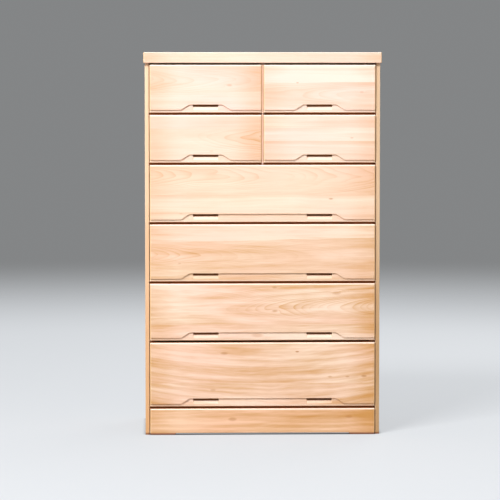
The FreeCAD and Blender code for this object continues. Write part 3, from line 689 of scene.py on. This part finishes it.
def finish_drawer_boxes(nodes):
    """The pale boards of the drawer boxes."""
    for number, name in enumerate(sorted(nodes)):
        if name.endswith(("_drawer_left_side", "_drawer_right_side", "_drawer_back")):
            seed = BOX_SEED + number * BOX_SEED_STEP
            look = wood_look(seed, BOX_PALE, BOX_BLUSH, BOX_DEEP, line=0.30, bands=0.28, base=0.10)
            axes = FACING if name.endswith("_back") else RUNNING
            give_wood(nodes, name, axes, (BOX_PLANKS[number % len(BOX_PLANKS)],), look)


def plywood(name, low, high, axes):
    """Plywood: a veneer of two planks on its faces, and its plies on its edges."""
    look = wood_look(PLYWOOD_SEED + len(name), VENEER_PALE, VENEER_BLUSH, VENEER_DEEP, line=0.30,
                     bands=0.36, base=0.16, ring=0.009, wear=0.04)
    _, across, depth = axes
    width = high[across] - low[across]
    planks = (
        Plank(0.0, 0.0, width * 0.2, 0.12, 0.05),
        Plank(width * 0.5, 0.05, width * 0.8, 0.15, -0.04),
    )
    material = wood(name, low, high, axes, planks, look)
    tree = material.node_tree
    shader = tree.nodes["Principled BSDF"]
    veneer = Value(shader.inputs["Base Color"].links[0].from_socket)
    place, normal = place_and_normal(tree)
    ply = (place[depth] - low[depth]) * (PLIES / (high[depth] - low[depth]))
    crossing = (ply * 0.5).math("FRACT").eased(*PLY_LINE)
    on_face = (normal[depth] * normal[depth]).eased(*PLY_FACE)
    feed(shader.inputs["Base Color"], mixed(on_face, mixed(crossing, PLY_LIGHT, PLY_DARK), veneer))
    return material


def finish_plywood(nodes):
    """The back panel and the drawer bottoms."""
    give_plywood(nodes, "back_panel", UPRIGHT_BACK)
    for name in sorted(nodes):
        if name.endswith("_drawer_bottom"):
            give_plywood(nodes, name, LYING)


def steel(name):
    """Zinc-plated steel with fine scratches and dull patches."""
    material, tree, shader = new_material(name)
    place, _ = place_and_normal(tree)
    x, y, z = (place[axis] for axis in "xyz")
    spot = joined(tree, x * ZINC_PATCH_RATE, y * ZINC_PATCH_RATE, z * ZINC_PATCH_RATE)
    dull = noise(spot, *ZINC_PATCH_NOISE).eased(*ZINC_PATCH_SPREAD)
    line = joined(tree, x * SCRATCH_RATE, y * SCRATCH_RATE_ALONG, z * SCRATCH_RATE)
    scratch = noise(line, *SCRATCH_NOISE)
    feed(shader.inputs["Base Color"], mixed(dull, ZINC_BRIGHT, ZINC_DULL))
    shader.inputs["Metallic"].default_value = 1.0
    gloss = dull * DULL_ROUGHNESS + scratch * SCRATCH_ROUGHNESS
    feed(shader.inputs["Roughness"], gloss + ZINC_ROUGHNESS)
    return material


def finish_small_parts(nodes):
    """Runners, corner blocks, dowels and screws."""
    kinds = (
        ("side_runners", RUNNING),
        ("centre_runners", RUNNING),
        ("corner_blocks", UPRIGHT),
        ("dowels", FACING),
    )
    for number, (name, axes) in enumerate(kinds):
        seed = SMALL_SEED + number * SMALL_SEED_STEP
        look = wood_look(seed, SMALL_PALE, SMALL_BLUSH, SMALL_DEEP, line=0.24, bands=0.24, wear=0.0)
        give_wood(nodes, name, axes, (SMALL_PLANK,), look)
    metal = steel("zinc_plated_steel")
    for name in ("runner_screws", "back_panel_screws"):
        give(nodes, name, metal)


def floor_material():
    """Pale and matt, with a glow that only the camera sees and a fade to nothing far from the chest."""
    material, tree, shader = new_material("pale_floor")
    place, _ = place_and_normal(tree)
    x, y = place["x"], place["y"]
    spot = joined(tree, x * FLOOR_MOTTLE_RATE, y * FLOOR_MOTTLE_RATE, 0.0)
    mottle = noise(spot, *FLOOR_MOTTLE_NOISE) * FLOOR_MOTTLE + 0.5
    darker = tuple(part * FLOOR_DARKER for part in FLOOR_COLOUR[:3]) + (1.0,)
    feed(shader.inputs["Base Color"], mixed(mottle, darker, FLOOR_COLOUR))
    shader.inputs["Roughness"].default_value = FLOOR_ROUGHNESS
    shader.inputs["Specular IOR Level"].default_value = FLOOR_SPECULAR
    shader.inputs["Emission Color"].default_value = FLOOR_GLOW_COLOUR
    # Painted contact shadow: the glow dims where the chest is near
    contact = tree.nodes.new("ShaderNodeAmbientOcclusion")
    contact.inputs["Distance"].default_value = CONTACT_REACH
    open_sky = Value(contact.outputs["AO"]).eased(*CONTACT_SHADE)
    feed(shader.inputs["Emission Strength"], open_sky * FLOOR_GLOW)
    matt = tree.nodes.new("ShaderNodeBsdfDiffuse")
    matt.inputs["Color"].default_value = FLOOR_BOUNCE_COLOUR
    clear = tree.nodes.new("ShaderNodeBsdfTransparent")
    path = tree.nodes.new("ShaderNodeLightPath")
    surface = blend(tree, Value(path.outputs["Is Camera Ray"]), matt.outputs[0], shader.outputs[0])
    fade = (x * x + y * y).math("SQRT").eased(*FLOOR_FADE)
    surface = blend(tree, fade, surface, clear.outputs[0])
    tree.links.new(surface, tree.nodes["Material Output"].inputs["Surface"])
    return material


def make_floor():
    """A plain round floor under the chest."""
    angles = [2 * math.pi * step / FLOOR_SIDES for step in range(FLOOR_SIDES)]
    rim = [(FLOOR_RADIUS * math.cos(a), FLOOR_RADIUS * math.sin(a), -FLOOR_DROP) for a in angles]
    mesh = bpy.data.meshes.new("floor")
    mesh.from_pydata(rim, [], [list(range(FLOOR_SIDES))])
    mesh.materials.append(floor_material())
    floor = bpy.data.objects.new("floor", mesh)
    bpy.context.scene.collection.objects.link(floor)


def make_backdrop():
    """A grey backdrop for the camera, and for the rest the soft light of a room, brighter from above."""
    world = bpy.data.worlds.new("studio")
    bpy.context.scene.world = world
    world.use_nodes = True
    tree = world.node_tree
    seen = tree.nodes["Background"]
    seen.inputs["Color"].default_value = BACKDROP_COLOUR
    seen.inputs["Strength"].default_value = 1.0
    light = tree.nodes.new("ShaderNodeBackground")
    light.inputs["Color"].default_value = ROOM_LIGHT_COLOUR
    direction = tree.nodes.new("ShaderNodeTexCoord")
    split = tree.nodes.new("ShaderNodeSeparateXYZ")
    tree.links.new(direction.outputs["Generated"], split.inputs[0])
    upward = Value(split.outputs["Z"]).eased(0.0, 1.0)
    feed(light.inputs["Strength"], upward * (ROOM_LIGHT_HIGH - ROOM_LIGHT_LOW) + ROOM_LIGHT_LOW)
    path = tree.nodes.new("ShaderNodeLightPath")
    surface = blend(tree, Value(path.outputs["Is Camera Ray"]), light.outputs[0], seen.outputs[0])
    tree.links.new(surface, tree.nodes["World Output"].inputs["Surface"])


def make_lamps():
    """Large soft lamps, the strongest above and to the left of the camera."""
    for name, place, target, width, height, power, colour in LAMPS:
        data = bpy.data.lights.new(name, "AREA")
        data.shape = "RECTANGLE"
        data.size = width
        data.size_y = height
        data.energy = power
        data.color = colour
        lamp = bpy.data.objects.new(name, data)
        lamp.location = place
        lamp.rotation_euler = (Vector(target) - Vector(place)).to_track_quat("-Z", "Y").to_euler()
        bpy.context.scene.collection.objects.link(lamp)


def make_camera():
    """The camera at the photograph's viewing angle."""
    data = bpy.data.cameras.new("camera")
    data.lens = CAMERA_LENS
    data.sensor_width = SENSOR_WIDTH
    camera = bpy.data.objects.new("camera", data)
    camera.location = CAMERA_PLACE
    camera.rotation_euler = (math.pi / 2 - CAMERA_PITCH, 0.0, CAMERA_YAW)
    bpy.context.scene.collection.objects.link(camera)
    bpy.context.scene.camera = camera


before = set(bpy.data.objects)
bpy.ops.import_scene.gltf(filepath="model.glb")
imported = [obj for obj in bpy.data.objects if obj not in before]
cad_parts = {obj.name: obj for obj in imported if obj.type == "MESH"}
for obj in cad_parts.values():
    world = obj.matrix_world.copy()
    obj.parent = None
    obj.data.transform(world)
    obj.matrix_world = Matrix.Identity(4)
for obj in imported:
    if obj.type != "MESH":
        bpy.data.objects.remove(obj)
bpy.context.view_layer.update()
bpy.context.scene.view_settings.view_transform = "Standard"
finish_fronts(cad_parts)
finish_case(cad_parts)
finish_drawer_boxes(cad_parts)
finish_plywood(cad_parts)
finish_small_parts(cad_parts)
make_floor()
make_backdrop()
make_lamps()
make_camera()
